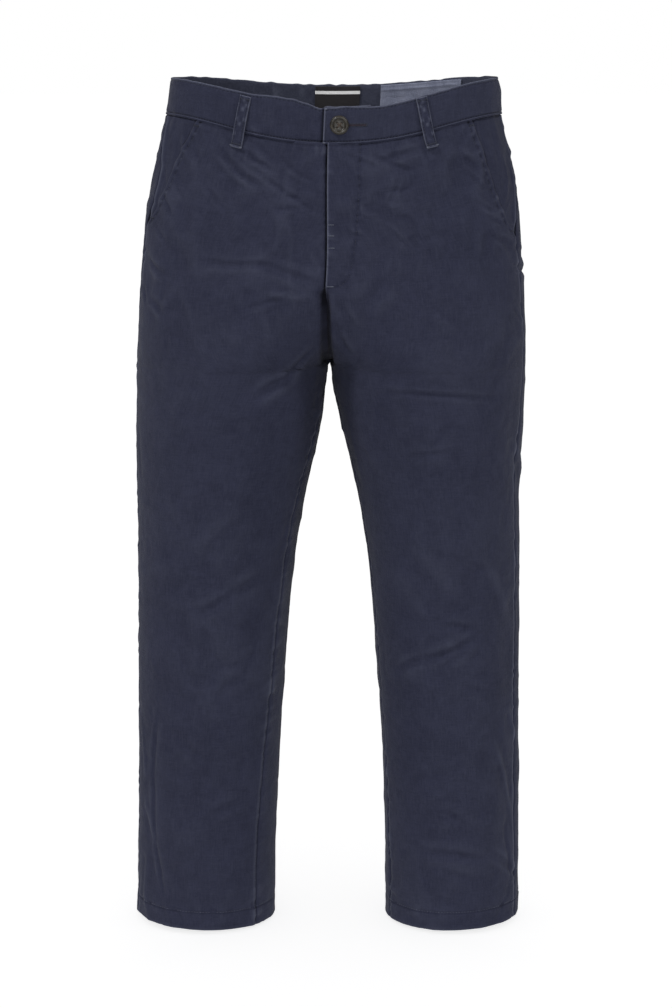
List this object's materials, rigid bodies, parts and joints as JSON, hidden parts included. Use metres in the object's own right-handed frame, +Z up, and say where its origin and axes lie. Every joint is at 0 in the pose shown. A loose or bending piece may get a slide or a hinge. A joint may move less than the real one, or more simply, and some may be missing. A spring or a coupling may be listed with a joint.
{
  "type": "chino trousers",
  "caption": "Straight-leg ankle-length chino trousers, filled out and hollow, with slant pockets, belt loops and a buttoned waistband.",
  "frame": {"origin": "centre of the waist opening, level with the top edge of the waistband at the sides, where the wearer's waist holds it", "axes": "+Z up, -Y towards the front of the garment, +X towards the wearer's left"},
  "size_m": [0.4271, 0.2308, 0.922],
  "materials": {
    "twill": "garment-dyed navy cotton twill, matt, paler along seam edges",
    "horn": "dark horn-like resin, satin",
    "label": "dark woven satin tape with a white top line",
    "chambray": "pale blue cotton chambray, matt"
  },
  "bodies": {
    "root": {"front_right": "twill", "front_left": "twill", "back_right": "twill", "back_left": "twill", "pocket_bearer_right": "twill", "pocket_bearer_left": "twill", "fly_shield": "twill", "waistband_right": "twill", "waistband_left": "twill", "belt_loop_front_right": "twill", "belt_loop_front_left": "twill", "belt_loop_side_right": "twill", "belt_loop_side_left": "twill", "belt_loop_back": "twill", "waist_button": "horn", "waist_label": "label", "waist_patch": "chambray"}
  },
  "joints": []
}
